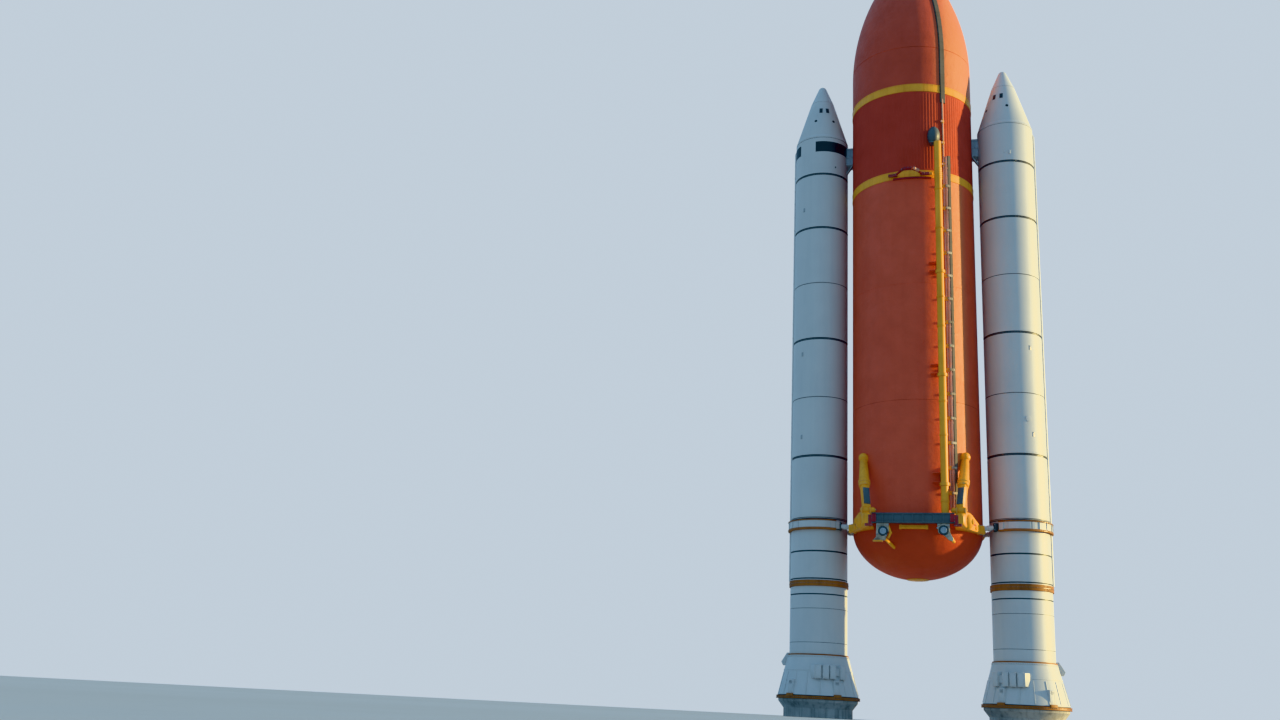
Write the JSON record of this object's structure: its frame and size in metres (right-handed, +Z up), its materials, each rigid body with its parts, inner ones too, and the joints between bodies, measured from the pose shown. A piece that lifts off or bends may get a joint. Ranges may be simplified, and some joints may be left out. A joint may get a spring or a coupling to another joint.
{
  "type": "half-scale display rocket with a tank and twin solid boosters on round plinths",
  "caption": "Upright display rocket at one to two scale: a rust-coloured tank carried between white solid boosters, each booster standing on a round plinth.",
  "frame": {"origin": "middle of the floor under the whole stack's bounding box; the tank's axis stands 0.27 m behind it, toward +Y", "axes": "+Z up along the tank, -Y toward the side with the feed line and the bipod, +X toward the booster on the right of that side"},
  "size_m": [9.08, 4.72, 28.045],
  "materials": {
    "tank_paint": "matte",
    "intertank_paint": "matte",
    "yellow_paint": "satin",
    "white_paint": "satin",
    "navy_paint": "satin",
    "maroon_paint": "satin",
    "grey_paint": "satin",
    "pale_blue_paint": "satin",
    "plinth_concrete": "matte"
  },
  "bodies": {
    "root": {"aft_cross_pipe": "yellow_paint", "aft_crossbeam": "navy_paint", "aft_left_fitting": "yellow_paint", "aft_left_thrust_strut": "yellow_paint", "aft_left_umbilical_plate": "pale_blue_paint", "aft_right_fitting": "yellow_paint", "aft_right_thrust_strut": "yellow_paint", "aft_right_umbilical_plate": "pale_blue_paint", "bipod_left_leg": "maroon_paint", "bipod_right_leg": "maroon_paint", "bipod_yoke": "maroon_paint", "cable_tray_lower": "grey_paint", "cable_tray_upper": "grey_paint", "feed_bracket_1": "maroon_paint", "feed_bracket_2": "maroon_paint", "feed_bracket_3": "maroon_paint", "feed_fairing": "navy_paint", "feed_line": "yellow_paint", "left_aft_centre_segment": "white_paint", "left_aft_link_back": "yellow_paint", "left_aft_link_front": "yellow_paint", "left_aft_segment": "white_paint", "left_aft_skirt": "white_paint", "left_attach_ring": "white_paint", "left_forward_centre_segment": "white_paint", "left_forward_fitting": "pale_blue_paint", "left_forward_segment": "white_paint", "left_forward_skirt": "white_paint", "left_frustum": "white_paint", "left_nose_cap": "white_paint", "left_plinth": "plinth_concrete", "left_separation_motors": "white_paint", "left_systems_tunnel": "white_paint", "pressure_line": "yellow_paint", "right_aft_centre_segment": "white_paint", "right_aft_link_back": "yellow_paint", "right_aft_link_front": "yellow_paint", "right_aft_segment": "white_paint", "right_aft_skirt": "white_paint", "right_attach_ring": "white_paint", "right_forward_centre_segment": "white_paint", "right_forward_fitting": "pale_blue_paint", "right_forward_segment": "white_paint", "right_forward_skirt": "white_paint", "right_frustum": "white_paint", "right_nose_cap": "white_paint", "right_plinth": "plinth_concrete", "right_separation_motors": "white_paint", "right_systems_tunnel": "white_paint", "tank_aft_dome": "tank_paint", "tank_dome_cap": "yellow_paint", "tank_intertank": "intertank_paint", "tank_lower_band": "yellow_paint", "tank_lower_barrel_1": "tank_paint", "tank_lower_barrel_2": "tank_paint", "tank_lower_barrel_3": "tank_paint", "tank_nose_cone": "grey_paint", "tank_ogive": "tank_paint", "tank_upper_band": "yellow_paint", "tank_upper_barrel": "tank_paint"}
  },
  "joints": []
}
